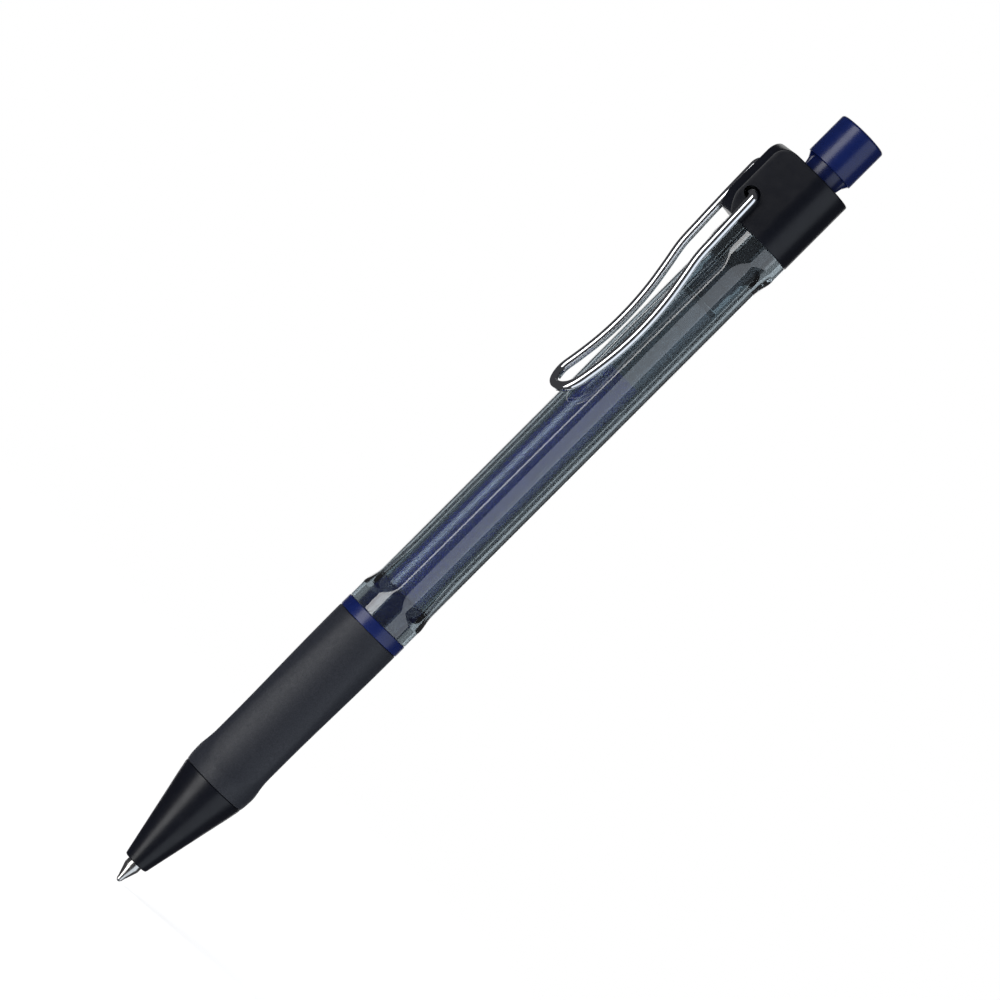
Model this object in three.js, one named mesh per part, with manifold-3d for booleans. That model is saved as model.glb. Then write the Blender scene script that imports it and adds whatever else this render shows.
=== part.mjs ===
// Retractable gel pen, modelled as its separate moulded, turned and wound pieces.
//
// Frame: millimetres. The pen stands along +Z on its writing ball, at z = 0, and its clip faces -Y.
// The pen's own axis is parallel to Z and passes through (0, AXIS_Y), so that the origin is the
// middle of the pen's footprint. Inside the pen group every piece is drawn about that axis, and
// "height" means the distance from the axis towards the clip, along -Y.
import * as THREE from 'three';
import { mergeVertices } from 'three/addons/utils/BufferGeometryUtils.js';
import Module from 'manifold-3d';

const wasm = await Module();
wasm.setup();

// ---- driving dimensions, mm ----
const FIT = 0.05;                 // running clearance between neighbouring pieces

const BALL_R = 0.35;              // 0.7 mm writing ball
const TIP_R = 1.165;              // turned metal tip
const TIP_CONE_END = 2.65;
const TIP_SHOULDER = 11.2;        // where the metal tip enters its plastic holder
const TIP_END = 14.2;

const NOSE_FRONT = 3.46;
const NOSE_REAR = 18.47;
const SPRING_SEAT = 9.4;          // shoulder inside the nose cone
const SPRING_R = 2.17;            // axis to the middle of the spring's wire
const SPRING_WIRE_R = 0.19;
const SPRING_TURNS = 8;
const HOLDER_COLLAR_R = 2.65;     // what the spring pushes on
const THREAD_START = 14.6;

const GRIP_FRONT = 18.53;
const GRIP_REAR = 47.96;
const GRIP_R = 5.21;
const GRIP_FACET = 4.58;          // axis to the middle of a finger facet
const GRIP_FACET_ARC = 6.84;
const GRIP_FACET_FRONT = [20.6, 24.3];  // where the facets run out, and where they are full
const GRIP_FACET_FADE = [27, 48];       // where they grow shallower towards the ring
const GRIP_FACET_LIFT = 0.38;           // and by how much
const CORE_R = 4.1;
const CORE_BORE = 3.2;
const CORE_MOUTH = 2.8;
const CORE_SPIGOT_R = 3.75;
const CORE_END = 54.8;
const THREAD_ROOT = 3.36;
const THREAD_CREST = 3.55;
const THREAD_PITCH = 1.05;

const RING_FRONT = 48.02;
const RING_REAR = 49.8;
const RING_R = 5.18;

const BARREL_FRONT = 49.86;
const BARREL_REAR = 122.25;
const BARREL_R_FRONT = 5.18;
const BARREL_R_REAR = 5.4;
const BARREL_BORE = 3.4;
const FACET_MIDDLE = 4.14;        // axis to the middle of a barrel facet
const FACET_ARC = 9.3;
const FACET_FRONT = [52.0, 55.5]; // where the facets run out, and where they are full
const FACET_REAR = [120.2, 116.6];
const CLIP_FACET_REAR = [116.0, 119.6]; // the facet under the clip only grows shallower there
const CLIP_FACET_LIFT = 0.58;
const SPIGOT_R = 4.3;             // the barrel's rear spigot, inside the clip holder
const SPIGOT_END = 129.5;

const CAP_FRONT = 122.32;
const CAP_REAR = 134.2;
const CAP_R = 5.42;
const FIN_HEIGHT = 8.1;           // axis to the flat top of the fin
const FIN_HALF_TOP = 1.16;
const FIN_SIDE_ANGLE = THREE.MathUtils.degToRad(56.7);
const BUTTON_BORE = 3.6;

const WIRE_R = 0.7;               // clip wire, 1.4 mm
const LEG_X = 3.28;               // clip leg centre to the pen's middle plane
const BEND_R = 1.0;
const CLIP_HOLE_R = 1.03;
const CLIP_HOLE_H = 6.64;
const CLIP_HOLE_Z = 126.2;        // the hole on the +X side
const CLIP_STAGGER = 4.2;         // the -X hole is this much further back, which twists the wire
const CLIP_END_X = 0.95;
const CLIP_HOLE_DEPTH_X = 0.7;
const LOOP_Z = 89.4;              // centre line of the wire at the bottom of the loop

const HEAD_R = 3.77;              // push button
const HEAD_BOTTOM = 136.2;
const NECK_R = 2.85;
const NECK_BOTTOM = 128;
const PEN_LENGTH = 143;
const BUTTON_RIB_TURN = THREE.MathUtils.degToRad(-26.7);
const BUTTON_RIB_WIDTH = 2.2;

const REFILL_R = 3.05;
const REFILL_BORE = 2.6;
const REFILL_FRONT = 21.4;
const COLLAR_FRONT = 19.8;        // the face that the return spring pushes on
const HOLDER_END = 26;            // the holder's plug inside the tube
const REFILL_REAR = 110.6;
const INK_END = 96.5;
const GREASE_END = 106.5;         // the grease reaches the plug, so no air is left between them
const TAIL_FRONT = 106.6;
const TAIL_END = 111.3;
const TAIL_FLANGE_R = 2.9;
const TAIL_VENT_R = 0.45;

const STROKE = 5.5;               // the tip's travel between writing and retracted
const LATCH_TURN = 45;            // degrees that the rotor turns in one stroke
const LATCH_RISE = STROKE / THREE.MathUtils.degToRad(LATCH_TURN);  // mm per radian
const LATCH_COUNT = 4;
const LATCH_HALF = THREE.MathUtils.degToRad(10);
const LATCH_Z = 119.4;            // rotor rib tops at their middle
const LATCH_GAP = 0.3;
const GUIDE_FRONT = 117.2;
const GUIDE_BORE = 2.95;
const GUIDE_RIB_END = 126.2;
const SHAFT_R = 2.25;             // rotor and plunger bodies
const KEY_R = 2.85;
const TOOTH_COUNT = 8;
const TOOTH_HEIGHT = 1;
const TOOTH_TIP = 121.4;          // the plunger's teeth
const PLUNGER_END = 134;
const PLUNGER_BORE = 1.5;
const PLUNGER_KEY_HALF = THREE.MathUtils.degToRad(9);
const PLUNGER_KEY_Z = [122.9, 125.5];
const ROTOR_TOP = 120.1;          // the rotor's teeth rise from here
const ROTOR_RIB_FRONT = 116.6;
const ROTOR_FOOT_R = 1.9;
const ROTOR_BORE = 0.8;

const AXIS_Y = (FIN_HEIGHT - CAP_R) / 2;

const ROUND = 32;                 // sides of a turned piece
const ROUND_SMALL = 24;
const ROUND_LARGE = 60;           // pieces whose outside is shaped
const TAU = 2 * Math.PI;

// ---- shape helpers ----
const v2 = ([r, z]) => new THREE.Vector2(r, z);

function bare(geometry) {
  geometry.deleteAttribute('normal');
  geometry.deleteAttribute('uv');
  return mergeVertices(geometry, 1e-4);
}

function signedVolume(geometry) {
  const p = geometry.attributes.position;
  const index = geometry.index.array;
  const [a, b, c] = [0, 1, 2].map(() => new THREE.Vector3());
  let volume = 0;
  for (let i = 0; i < index.length; i += 3) {
    a.fromBufferAttribute(p, index[i]);
    b.fromBufferAttribute(p, index[i + 1]);
    c.fromBufferAttribute(p, index[i + 2]);
    volume += a.dot(b.cross(c)) / 6;
  }
  return volume;
}

function outward(geometry) {
  const solid = bare(geometry);
  if (signedVolume(solid) < 0) {
    const index = solid.index.array;
    for (let i = 0; i < index.length; i += 3) {
      [index[i], index[i + 1]] = [index[i + 1], index[i]];
    }
  }
  return solid;
}

function toManifold(geometry) {
  return new wasm.Manifold(new wasm.Mesh({
    numProp: 3,
    vertProperties: new Float32Array(geometry.attributes.position.array),
    triVerts: new Uint32Array(geometry.index.array),
  }));
}

function fromManifold(solid) {
  const mesh = solid.getMesh();
  const geometry = new THREE.BufferGeometry();
  geometry.setAttribute('position', new THREE.BufferAttribute(mesh.vertProperties, 3));
  geometry.setIndex(new THREE.BufferAttribute(mesh.triVerts, 1));
  return geometry;
}

function join(first, ...others) {
  return fromManifold(others.reduce((sum, g) => sum.add(toManifold(g)), toManifold(first)));
}

function cut(first, ...tools) {
  return fromManifold(tools.reduce((sum, g) => sum.subtract(toManifold(g)), toManifold(first)));
}

// A turned piece: [radius, z] points in order around a closed section, or from axis to axis.
function turned(points, sides = ROUND) {
  const closed = points[0][0] > 0;
  const outline = closed ? [...points, points[0]] : points;
  const geometry = new THREE.LatheGeometry(outline.map(v2), sides);
  geometry.rotateX(Math.PI / 2);
  return outward(geometry);
}

// A straight round hole or rod along Z.
function rod(radius, from, to, sides = ROUND) {
  return turned([[0, from], [radius, from], [radius, to], [0, to]], sides);
}

// Moves each vertex by a function of its radius, angle from the clip side, and z.
function reshape(geometry, move) {
  const p = geometry.attributes.position;
  for (let i = 0; i < p.count; i += 1) {
    const radius = Math.hypot(p.getX(i), p.getY(i));
    const angle = Math.atan2(p.getX(i), -p.getY(i));
    const [r, z] = move(radius, angle, p.getZ(i));
    p.setXYZ(i, r * Math.sin(angle), -r * Math.cos(angle), z);
  }
  return geometry;
}

// Part of a ring, whose ends follow lowAt(angle) and highAt(angle) along Z.
function sector(rIn, rOut, middle, half, lowAt, highAt) {
  const block = bare(new THREE.BoxGeometry(1, 1, 1, 6, 1, 1));
  const p = block.attributes.position;
  for (let i = 0; i < p.count; i += 1) {
    const turn = 2 * half * p.getX(i);
    const radius = p.getY(i) > 0 ? rOut : rIn;
    const z = p.getZ(i) > 0 ? highAt(turn) : lowAt(turn);
    p.setXYZ(i, radius * Math.sin(middle + turn), -radius * Math.cos(middle + turn), z);
  }
  return outward(block);
}

// Distance from the axis to a face that bulges with a radius, at an angle from its middle.
function bulgedFace(angle, middle, arc) {
  const back = arc - middle;
  const along = back * Math.cos(angle);
  return Math.sqrt(along * along + arc * arc - back * back) - along;
}

// The angle to the nearest of three faces, the first of which is at the given angle.
function toNearestFace(angle, first) {
  const third = TAU / 3;
  const turn = ((angle - first) % third + third) % third;
  return Math.min(turn, third - turn);
}

// 0 where a face is full, 1 where it has run out, with a rounded end.
function runOut(z, [gone, full]) {
  return THREE.MathUtils.clamp((z - full) / (gone - full), 0, 1.2) ** 2;
}

function range(count) {
  return Array.from({ length: count }, (_, i) => i);
}

function steps(from, to, count) {
  return range(count + 1).map((i) => from + (to - from) * i / count);
}

// ---- the pen ----
const pen = new THREE.Group();
pen.position.y = AXIS_Y;

function add(name, geometry, color, roughness, metalness, look = {}) {
  const material = new THREE.MeshStandardMaterial({ color, roughness, metalness, ...look });
  const mesh = new THREE.Mesh(geometry, material);
  mesh.name = name;
  pen.add(mesh);
}

// Tungsten-carbide ball, held by the crimped lip of the tip.
function tipBall() {
  const ball = new THREE.SphereGeometry(BALL_R, 16, 12);
  ball.rotateX(Math.PI / 2);
  ball.translate(0, 0, BALL_R);
  return outward(ball);
}

// Turned nickel-silver tip: crimped lip, cone, shank and a thinner tail pressed into the holder.
function writingTip() {
  return turned([
    [BALL_R + 0.01, 0.24],
    [0.41, 0.3],
    [0.45, 0.5],
    [0.58, 0.95],
    [0.64, 1.0],
    [TIP_R, TIP_CONE_END],
    [TIP_R, TIP_SHOULDER],
    [0.9, TIP_SHOULDER],
    [0.9, TIP_END],
    [0.35, TIP_END],
    [0.35, 1.0],
    [BALL_R + 0.04, 0.8],
    [BALL_R + 0.04, 0.34],
  ], ROUND_SMALL);
}

// Plastic holder between the tip and the ink tube, with the collar that the spring pushes on.
function tipHolder() {
  return turned([
    [0.95, TIP_SHOULDER + FIT],
    [1.6, TIP_SHOULDER + FIT],
    [1.75, 11.6],
    [1.75, COLLAR_FRONT - 0.4],
    [2.0, COLLAR_FRONT],
    [HOLDER_COLLAR_R, COLLAR_FRONT],
    [HOLDER_COLLAR_R, REFILL_FRONT - FIT],
    [REFILL_BORE - FIT, REFILL_FRONT - FIT],
    [REFILL_BORE - FIT, HOLDER_END],
    [0.7, HOLDER_END],
    [0.7, TIP_END + 0.2],
    [0.95, TIP_END + 0.2],
  ], ROUND_SMALL);
}

function refillTube() {
  return turned([
    [REFILL_BORE, REFILL_FRONT],
    [REFILL_R, REFILL_FRONT],
    [REFILL_R, REFILL_REAR],
    [REFILL_BORE, REFILL_REAR],
  ]);
}

// Vented plug that closes the tube and bears against the rotor.
function tailPlug() {
  return turned([
    [TAIL_VENT_R, TAIL_FRONT],
    [REFILL_BORE - FIT, TAIL_FRONT],
    [REFILL_BORE - FIT, REFILL_REAR + FIT],
    [TAIL_FLANGE_R, REFILL_REAR + FIT],
    [TAIL_FLANGE_R, TAIL_END - 0.2],
    [TAIL_FLANGE_R - 0.2, TAIL_END],
    [TAIL_VENT_R, TAIL_END],
  ], ROUND_SMALL);
}

// Wound from round wire, with a nearly closed turn at each end.
class SpringCurve extends THREE.Curve {
  constructor(radius, from, to, turns) {
    super();
    Object.assign(this, { radius, from, to, turns });
  }

  getPoint(t, target = new THREE.Vector3()) {
    const angle = TAU * this.turns * t;
    const rise = t - Math.sin(TAU * t) / TAU * 0.85;
    const z = this.from + (this.to - this.from) * rise;
    return target.set(this.radius * Math.cos(angle), this.radius * Math.sin(angle), z);
  }
}

function roundSection(radius, sides) {
  return new THREE.Shape(range(sides).map((i) => new THREE.Vector2(
    radius * Math.cos(TAU * i / sides),
    radius * Math.sin(TAU * i / sides),
  )));
}

function returnSpring() {
  const front = SPRING_SEAT + SPRING_WIRE_R + FIT;
  const rear = COLLAR_FRONT - SPRING_WIRE_R - FIT;
  const curve = new SpringCurve(SPRING_R, front, rear, SPRING_TURNS);
  return outward(new THREE.ExtrudeGeometry(roundSection(SPRING_WIRE_R, 6), {
    steps: 112,
    extrudePath: curve,
  }));
}

// Moulding at the writing end, with the spring's seat inside and a plain bore round the core's
// thread ridges.
function noseCone() {
  return turned([
    [1.25, NOSE_FRONT],
    [1.58, NOSE_FRONT],
    [1.78, NOSE_FRONT + 0.08],
    [1.88, NOSE_FRONT + 0.28],
    [2.87, 8.12],
    [3.45, 10.82],
    [4.03, 13.53],
    [4.63, 16.24],
    [5.0, 18.1],
    [5.02, 18.3],
    [4.97, NOSE_REAR],
    [3.62, NOSE_REAR],
    [3.62, THREAD_START - 0.2],
    [2.95, THREAD_START - 0.8],
    [2.62, 12.6],
    [2.62, SPRING_SEAT],
    [1.25, SPRING_SEAT],
  ]);
}

// Inner tube: thread ridges for the nose cone, seat for the grip, visible collar, barrel spigot.
function gripCore() {
  const ridges = range(3).flatMap((i) => {
    const z = THREAD_START + 0.7 + i * THREAD_PITCH;
    return [
      [THREAD_ROOT, z],
      [THREAD_CREST, z + 0.25],
      [THREAD_CREST, z + 0.4],
      [THREAD_ROOT, z + 0.65],
    ];
  });
  return turned([
    [CORE_MOUTH, THREAD_START],
    [THREAD_ROOT - 0.1, THREAD_START],
    [THREAD_ROOT, THREAD_START + 0.2],
    ...ridges,
    [THREAD_ROOT, GRIP_FRONT],
    [CORE_R, GRIP_FRONT + 0.1],
    [CORE_R, RING_FRONT],
    [RING_R - 0.08, RING_FRONT],
    [RING_R, RING_FRONT + 0.1],
    [RING_R, RING_REAR - 0.1],
    [RING_R - 0.08, RING_REAR],
    [CORE_SPIGOT_R, RING_REAR],
    [CORE_SPIGOT_R, CORE_END - 0.2],
    [CORE_SPIGOT_R - 0.15, CORE_END],
    [CORE_BORE, CORE_END],
    [CORE_BORE, GRIP_FRONT + 0.5],
    [CORE_MOUTH, GRIP_FRONT + 0.5],
  ]);
}

// Soft sleeve with three shallow finger facets, which fade out towards the ring.
function gripSleeve() {
  const outside = [
    [GRIP_R - 0.23, GRIP_FRONT],
    [GRIP_R - 0.14, GRIP_FRONT + 0.2],
    [GRIP_R - 0.06, GRIP_FRONT + 0.8],
    [GRIP_R, GRIP_FRONT + 2],
    ...steps(...GRIP_FACET_FRONT, 6).slice(1).map((z) => [GRIP_R, z]),
    ...steps(...GRIP_FACET_FADE, 5).slice(0, -1).map((z) => [GRIP_R, z]),
    [GRIP_R, GRIP_REAR - 0.5],
    [GRIP_R - 0.05, GRIP_REAR - 0.1],
    [GRIP_R - 0.2, GRIP_REAR],
  ];
  const sleeve = turned([
    ...outside,
    [CORE_R + FIT, GRIP_REAR],
    [CORE_R + FIT, GRIP_FRONT],
  ], ROUND_LARGE);
  return reshape(sleeve, (radius, angle, z) => {
    const turn = toNearestFace(angle, Math.PI / 3);
    const faded = GRIP_FACET_LIFT * THREE.MathUtils.smoothstep(z, ...GRIP_FACET_FADE);
    const lift = faded + (GRIP_R - GRIP_FACET) * runOut(z, GRIP_FACET_FRONT);
    return [Math.min(radius, bulgedFace(turn, GRIP_FACET + lift, GRIP_FACET_ARC)), z];
  });
}

function barrelRadius(z) {
  return THREE.MathUtils.mapLinear(z, BARREL_FRONT, BARREL_REAR, BARREL_R_FRONT, BARREL_R_REAR);
}

// How far a facet is lifted from its full depth. Towards the clip holder, the facet under the clip
// only grows shallower, and the other two run out.
function barrelFacetLift(angle, z) {
  const gone = 1.2 * (BARREL_R_FRONT - FACET_MIDDLE);
  const underClip = Math.abs(angle) < Math.PI / 3;
  const rear = underClip
    ? CLIP_FACET_LIFT * THREE.MathUtils.smoothstep(z, ...CLIP_FACET_REAR)
    : gone * runOut(z, FACET_REAR);
  return gone * runOut(z, FACET_FRONT) + rear;
}

// Clear tube with three broad facets; its rear spigot is inside the clip holder.
function barrel() {
  const stations = [
    BARREL_FRONT + 0.12,
    ...steps(...FACET_FRONT, 5),
    ...steps(CLIP_FACET_REAR[0], FACET_REAR[0], 6),
    BARREL_REAR - 0.1,
  ];
  const tube = turned([
    [RING_R - 0.1, BARREL_FRONT],
    ...stations.map((z) => [barrelRadius(z), z]),
    [BARREL_R_REAR - 0.1, BARREL_REAR],
    [SPIGOT_R, BARREL_REAR],
    [SPIGOT_R, SPIGOT_END],
    [BARREL_BORE, SPIGOT_END],
    [BARREL_BORE, CORE_END + 0.6],
    [CORE_SPIGOT_R + FIT, CORE_END + 0.1],
    [CORE_SPIGOT_R + FIT, BARREL_FRONT],
  ], ROUND_LARGE);
  return reshape(tube, (radius, angle, z) => {
    const middle = FACET_MIDDLE + barrelFacetLift(angle, z);
    return [Math.min(radius, bulgedFace(toNearestFace(angle, 0), middle, FACET_ARC)), z];
  });
}

// Where an end of the clip wire enters the fin, on the +X side (1) or the -X side (-1).
function clipEndZ(side) {
  return side > 0 ? CLIP_HOLE_Z : CLIP_HOLE_Z + CLIP_STAGGER;
}

// The fin's cross-section: flat sides tangent to the round of the holder, and a flat top.
function finSection() {
  const x = CAP_R * Math.sin(FIN_SIDE_ANGLE);
  const h = CAP_R * Math.cos(FIN_SIDE_ANGLE);
  const inner = 0.6;
  const half = [
    [x * inner, h * inner],
    [x, h],
    [FIN_HALF_TOP + 0.05, FIN_HEIGHT - 0.06],
    [FIN_HALF_TOP - 0.05, FIN_HEIGHT],
  ];
  const other = half.map(([px, ph]) => [-px, ph]).reverse();
  return new THREE.Shape([...half, ...other].map(([px, ph]) => new THREE.Vector2(px, -ph)));
}

// The fin's outline seen from the side: raked front, flat top, rounded rear corner.
function finSide() {
  const corner = 2.2;
  const outline = new THREE.Shape();
  outline.moveTo(CAP_FRONT - 1, 0);
  outline.lineTo(CAP_FRONT - 1, 6.15);
  outline.lineTo(122.8, 7.05);
  outline.quadraticCurveTo(123.5, FIN_HEIGHT, 125, FIN_HEIGHT + 0.02);
  outline.lineTo(CAP_REAR - corner, FIN_HEIGHT + 0.02);
  outline.absarc(CAP_REAR - corner, FIN_HEIGHT + 0.02 - corner, corner, Math.PI / 2, 0, true);
  outline.lineTo(CAP_REAR, 0);
  return outline;
}

function clipHolder() {
  const round = 0.25;
  const body = turned([
    [0, CAP_FRONT],
    [CAP_R, CAP_FRONT],
    [CAP_R, CAP_REAR - round],
    [CAP_R - 0.3 * round, CAP_REAR - 0.3 * round],
    [CAP_R - round, CAP_REAR],
    [0, CAP_REAR],
  ], ROUND_LARGE);
  const fin = new THREE.ExtrudeGeometry(finSection(), {
    depth: CAP_REAR - CAP_FRONT,
    bevelEnabled: false,
  });
  fin.translate(0, 0, CAP_FRONT);
  const slab = new THREE.ExtrudeGeometry(finSide(), {
    depth: 2 * CAP_R,
    bevelEnabled: false,
    curveSegments: 8,
  });
  // drawn as (z, height); stood up so that its thickness runs along X
  slab.applyMatrix4(new THREE.Matrix4().set(
    0, 0, 1, -CAP_R,
    0, -1, 0, 0,
    1, 0, 0, 0,
    0, 0, 0, 1,
  ));
  const shaped = toManifold(outward(fin)).intersect(toManifold(outward(slab)));
  const holes = [1, -1].map((side) => {
    const hole = rod(CLIP_HOLE_R, CLIP_HOLE_DEPTH_X, CAP_R, ROUND_SMALL);
    hole.rotateY(side * Math.PI / 2);
    return hole.translate(0, -CLIP_HOLE_H, clipEndZ(side));
  });
  const bore = rod(SPIGOT_R + 0.06, CAP_FRONT - 1, SPIGOT_END + 0.85);
  const mouth = rod(BUTTON_BORE, CAP_FRONT, CAP_REAR + 1);
  return cut(join(body, fromManifold(shaped)), ...holes, bore, mouth);
}

// Height of the clip wire's centre line over the pen's axis.
const clipHeight = new THREE.SplineCurve([
  [LOOP_Z, 6.22],
  [90.4, 5.9],
  [92, 5.61],
  [94.7, 5.12],
  [98.1, 4.67],
  [101.5, 4.49],
  [104.9, 4.58],
  [108.2, 4.91],
  [111.6, 5.5],
  [115, 6.15],
  [118.4, 6.34],
  [121.8, 6.48],
  [126.3, 6.62],
  [130.4, 6.7],
].map(v2));

function clipHeightAt(z) {
  let [low, high] = [0, 1];
  while (high - low > 1e-5) {
    const middle = (low + high) / 2;
    if (clipHeight.getPoint(middle).x < z) {
      low = middle;
    } else {
      high = middle;
    }
  }
  return clipHeight.getPoint(low).y;
}

// Half of the wire's path: in from the clip hole, round the bend, down the leg, round the loop.
function halfClipPath(side) {
  const bendX = LEG_X - BEND_R;
  const bendZ = clipEndZ(side) - BEND_R;
  const loopZ = LOOP_Z + LEG_X;
  const point = (x, z, h = clipHeightAt(z)) => new THREE.Vector3(side * x, -h, z);
  const ends = steps(CLIP_END_X, bendX, 3).map((x) => point(x, clipEndZ(side), CLIP_HOLE_H));
  const bend = steps(0, Math.PI / 2, 5).slice(1).map((a) => {
    const z = bendZ + BEND_R * Math.cos(a);
    const ease = THREE.MathUtils.lerp(CLIP_HOLE_H, clipHeightAt(z), 2 * a / Math.PI);
    return point(bendX + BEND_R * Math.sin(a), z, ease);
  });
  const leg = steps(bendZ, loopZ, 18).slice(1).map((z) => point(LEG_X, z));
  const loop = steps(0, Math.PI / 2, 7).slice(1).map((a) => (
    point(LEG_X * Math.cos(a), loopZ - LEG_X * Math.sin(a))
  ));
  return [...ends, ...bend, ...leg, ...loop];
}

function clipWire() {
  const other = halfClipPath(-1).slice(0, -1).reverse();
  const path = new THREE.CatmullRomCurve3([...halfClipPath(1), ...other], false, 'centripetal');
  path.arcLengthDivisions = 1200;
  return outward(new THREE.ExtrudeGeometry(roundSection(WIRE_R, 8), {
    steps: 104,
    extrudePath: path,
  }));
}

// A rib beside the button's neck, flared out to the head.
function flaredRib(side) {
  const outline = new THREE.Shape([
    [NECK_R - 0.3, 133],
    [3.02, 133],
    [3.05, CAP_REAR],
    [3.28, 135.4],
    [HEAD_R - 0.06, 136.1],
    [HEAD_R - 0.06, HEAD_BOTTOM + 0.3],
    [NECK_R - 0.3, HEAD_BOTTOM + 0.3],
  ].map(v2));
  const rib = new THREE.ExtrudeGeometry(outline, { depth: BUTTON_RIB_WIDTH, bevelEnabled: false });
  rib.translate(0, 0, -BUTTON_RIB_WIDTH / 2);
  rib.rotateX(Math.PI / 2);
  rib.rotateZ(BUTTON_RIB_TURN + Math.PI / 2 + side * Math.PI);
  return outward(rib);
}

// Moulded button: domed head, neck, and two flared ribs that join the neck to the head.
function pushButton() {
  const shell = turned([
    [0, PEN_LENGTH - 1.4],
    [SHAFT_R + 0.07, PEN_LENGTH - 1.4],
    [SHAFT_R + 0.07, NECK_BOTTOM],
    [NECK_R - 0.1, NECK_BOTTOM],
    [NECK_R, NECK_BOTTOM + 0.1],
    [NECK_R, HEAD_BOTTOM],
    [HEAD_R - 0.08, HEAD_BOTTOM],
    [HEAD_R, HEAD_BOTTOM + 0.08],
    [HEAD_R, PEN_LENGTH - 0.6],
    [HEAD_R - 0.13, PEN_LENGTH - 0.28],
    [HEAD_R - 0.45, PEN_LENGTH - 0.14],
    [2.2, PEN_LENGTH - 0.03],
    [1.2, PEN_LENGTH],
    [0, PEN_LENGTH],
  ]);
  return join(shell, flaredRib(0), flaredRib(1));
}

// The axial height of the crown teeth around a ring, from 0 to TOOTH_HEIGHT.
function toothWave(angle) {
  const phase = ((angle * TOOTH_COUNT / TAU) % 1 + 1) % 1;
  return TOOTH_HEIGHT * (1 - Math.abs(2 * phase - 1));
}

// Pushed by the button: a toothed shank with keys that run in the guide's grooves.
function plunger() {
  const root = TOOTH_TIP + TOOTH_HEIGHT;
  const shank = turned([
    [PLUNGER_BORE, root],
    [SHAFT_R, root],
    [SHAFT_R, PLUNGER_END],
    [PLUNGER_BORE, PLUNGER_END],
  ]);
  const toothed = reshape(shank, (radius, angle, z) => (
    [radius, z < root + 0.1 ? z - toothWave(angle) : z]
  ));
  const keys = range(LATCH_COUNT).map((i) => sector(
    SHAFT_R - 0.2,
    KEY_R,
    TAU * (i + 0.5) / LATCH_COUNT,
    PLUNGER_KEY_HALF,
    () => PLUNGER_KEY_Z[0],
    () => PLUNGER_KEY_Z[1],
  ));
  return join(toothed, ...keys);
}

// Turned by the teeth: its ribs rest on the guide's rib ends, or run up between them.
function rotor() {
  const body = turned([
    [ROTOR_BORE, TAIL_END + 0.1],
    [ROTOR_FOOT_R, TAIL_END + 0.1],
    [ROTOR_FOOT_R, 114.4],
    [SHAFT_R, 114.8],
    [SHAFT_R, ROTOR_TOP],
    [1.4, ROTOR_TOP],
    [1.4, 116],
    [ROTOR_BORE, 115.5],
  ]);
  const toothed = reshape(body, (radius, angle, z) => (
    [radius, z > ROTOR_TOP - 0.1 ? z + toothWave(angle) : z]
  ));
  const ribs = range(LATCH_COUNT).map((i) => sector(
    SHAFT_R - 0.2,
    KEY_R,
    TAU * i / LATCH_COUNT,
    LATCH_HALF,
    () => ROTOR_RIB_FRONT,
    (turn) => LATCH_Z - LATCH_RISE * turn,
  ));
  return join(toothed, ...ribs);
}

// Fixed sleeve in the rear of the barrel, with the ribs that hold the rotor.
function camGuide() {
  const sleeve = turned([
    [GUIDE_BORE, GUIDE_FRONT],
    [BARREL_BORE - FIT, GUIDE_FRONT],
    [BARREL_BORE - FIT, SPIGOT_END + FIT],
    [SPIGOT_R, SPIGOT_END + FIT],
    [SPIGOT_R, SPIGOT_END + 0.8],
    [GUIDE_BORE, SPIGOT_END + 0.8],
  ]);
  const ribs = range(LATCH_COUNT).map((i) => sector(
    SHAFT_R + 0.1,
    GUIDE_BORE + 0.2,
    TAU * i / LATCH_COUNT,
    LATCH_HALF,
    (turn) => LATCH_Z + LATCH_GAP - LATCH_RISE * turn,
    () => GUIDE_RIB_END,
  ));
  return join(sleeve, ...ribs);
}

add('tip_ball', tipBall(), 0x8e9094, 0.2, 1);
add('writing_tip', writingTip(), 0xb9b6ae, 0.3, 1);
add('tip_holder', tipHolder(), 0x5e6266, 0.45, 0);
add('refill_tube', refillTube(), 0xc4ccd2, 0.3, 0, { transparent: true, opacity: 0.35 });
add('ink_column', rod(REFILL_BORE - FIT, HOLDER_END + FIT, INK_END), 0x1a1f6e, 0.25, 0);
add('ink_follower', rod(REFILL_BORE - FIT, INK_END + FIT, GREASE_END), 0x676c6e, 0.3, 0);
add('refill_tail_plug', tailPlug(), 0x5e6266, 0.45, 0);
add('return_spring', returnSpring(), 0xb4b7bb, 0.3, 1);
add('nose_cone', noseCone(), 0x15171c, 0.42, 0);
add('grip_core', gripCore(), 0x1a235f, 0.3, 0);
add('grip_sleeve', gripSleeve(), 0x2b2d33, 0.85, 0);
add('barrel', barrel(), 0x6f8188, 0.12, 0, { transparent: true, opacity: 0.45 });
add('clip_holder', clipHolder(), 0x12141a, 0.4, 0);
add('clip_wire', clipWire(), 0xd6d8db, 0.12, 1);
add('push_button', pushButton(), 0x1a235f, 0.3, 0);
add('plunger', plunger(), 0x555a61, 0.5, 0);
add('rotor', rotor(), 0x555a61, 0.5, 0);
add('cam_guide', camGuide(), 0x23262c, 0.5, 0);

export default pen;
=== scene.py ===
import math

import bmesh
import bpy
from mathutils import Matrix, Vector

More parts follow.
